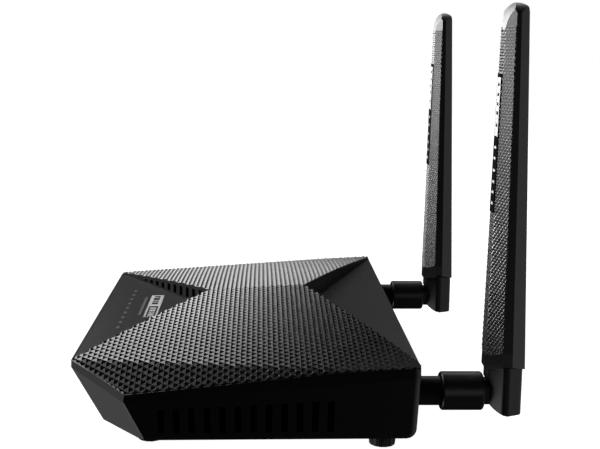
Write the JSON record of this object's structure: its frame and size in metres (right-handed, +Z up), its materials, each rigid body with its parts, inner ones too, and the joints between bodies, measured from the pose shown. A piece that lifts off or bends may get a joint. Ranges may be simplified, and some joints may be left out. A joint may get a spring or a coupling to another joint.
{
  "type": "wireless router",
  "caption": "Faceted desktop wireless router with textured wedge-shaped top and swivelling, folding blade antennas.",
  "frame": {"origin": "middle of the footprint of router and upright antennas, on the table", "axes": "+X to the router's right, +Y to its rear where the antennas are, +Z up"},
  "size_m": [0.191, 0.1696, 0.1634],
  "materials": {
    "cover_plastic": "moulded, textured satin black",
    "housing_plastic": "moulded satin black",
    "panel_plastic": "smooth satin charcoal",
    "print_white": "printed matt white",
    "light_pipe": "translucent white",
    "label_paper": "matt label stock",
    "circuit_board": "solder-masked laminate",
    "chip_plastic": "matt black moulding",
    "thermal_silicone": "soft grey pad",
    "heat_sink_metal": "extruded, plain",
    "shield_metal": "tinned sheet",
    "led_body": "clear moulding",
    "capacitor_can": "sleeved can",
    "wan_plastic": "matt blue moulding",
    "lan_plastic": "matt black moulding",
    "contact_gold": "gold-plated wire",
    "plated_steel": "nickel plated",
    "button_plastic": "satin",
    "connector_brass": "gold-plated brass",
    "cable_jacket": "thin jacket",
    "foot_rubber": "moulded rubber",
    "joint_plastic": "smooth satin black",
    "blade_plastic": "satin black, knurled on the flanks",
    "nameplate_plastic": "blank plate"
  },
  "bodies": {
    "housing": {"badge": "print_white", "board_screws": "plated_steel", "bottom_housing": "housing_plastic", "capacitors": "capacitor_can", "caption_strip": "print_white", "foot_front_left": "foot_rubber", "foot_front_right": "foot_rubber", "foot_rear_left": "foot_rubber", "foot_rear_right": "foot_rubber", "front_panel": "panel_plastic", "heat_sink": "heat_sink_metal", "housing_screws": "plated_steel", "jack_contacts": "contact_gold", "lan_jack_1": "lan_plastic", "lan_jack_2": "lan_plastic", "lan_jack_3": "lan_plastic", "lan_jack_4": "lan_plastic", "light_guide": "light_pipe", "main_board": "circuit_board", "memory_chip": "chip_plastic", "pigtail_left": "cable_jacket", "pigtail_right": "cable_jacket", "power_jack": "chip_plastic", "power_pin": "plated_steel", "processor": "chip_plastic", "radio_chip": "chip_plastic", "rating_label": "label_paper", "shield_can": "shield_metal", "sma_jack_left": "connector_brass", "sma_jack_right": "connector_brass", "sma_nuts": "connector_brass", "sma_washers": "connector_brass", "status_leds": "led_body", "tact_switch": "chip_plastic", "thermal_pad": "thermal_silicone", "top_cover": "cover_plastic", "transformers": "chip_plastic", "wan_jack": "wan_plastic"},
    "reset_button": {"reset_button": "button_plastic", "switch_plunger": "button_plastic"},
    "sleeve_right": {"sleeve_right": "joint_plastic"},
    "neck_right": {"neck_right": "joint_plastic"},
    "antenna_right": {"knuckle_right": "joint_plastic", "fold_pin_right": "plated_steel", "blade_front_right": "blade_plastic", "blade_back_right": "blade_plastic", "radiator_right": "circuit_board", "radiator_lead_right": "cable_jacket", "nameplate_right": "nameplate_plastic"},
    "sleeve_left": {"sleeve_left": "joint_plastic"},
    "neck_left": {"neck_left": "joint_plastic"},
    "antenna_left": {"knuckle_left": "joint_plastic", "fold_pin_left": "plated_steel", "blade_front_left": "blade_plastic", "blade_back_left": "blade_plastic", "radiator_left": "circuit_board", "radiator_lead_left": "cable_jacket", "nameplate_left": "nameplate_plastic"}
  },
  "joints": [
    {"name": "reset_press", "type": "slide", "parent": "housing", "child": "reset_button", "axis": [0, -1, 0], "range_m": [0, 0.0008], "stiffness_N_per_m": 400, "springref_m": -0.0005},
    {"name": "sleeve_right_turn", "type": "hinge", "parent": "housing", "child": "sleeve_right", "pos_m": [0.0738, 0.05968, 0.01945], "axis": [0, 1, 0], "continuous": true},
    {"name": "antenna_right_swivel", "type": "hinge", "parent": "housing", "child": "neck_right", "pos_m": [0.0738, 0.07168, 0.01945], "axis": [0, 1, 0], "range_deg": [-60, 90]},
    {"name": "antenna_right_fold", "type": "hinge", "parent": "neck_right", "child": "antenna_right", "pos_m": [0.0738, 0.07888, 0.01945], "axis": [-1, 0, 0], "range_deg": [0, 90]},
    {"name": "sleeve_left_turn", "type": "hinge", "parent": "housing", "child": "sleeve_left", "pos_m": [-0.0738, 0.05968, 0.01945], "axis": [0, 1, 0], "continuous": true},
    {"name": "antenna_left_swivel", "type": "hinge", "parent": "housing", "child": "neck_left", "pos_m": [-0.0738, 0.07168, 0.01945], "axis": [0, 1, 0], "range_deg": [-90, 60]},
    {"name": "antenna_left_fold", "type": "hinge", "parent": "neck_left", "child": "antenna_left", "pos_m": [-0.0738, 0.07888, 0.01945], "axis": [-1, 0, 0], "range_deg": [0, 90]}
  ]
}
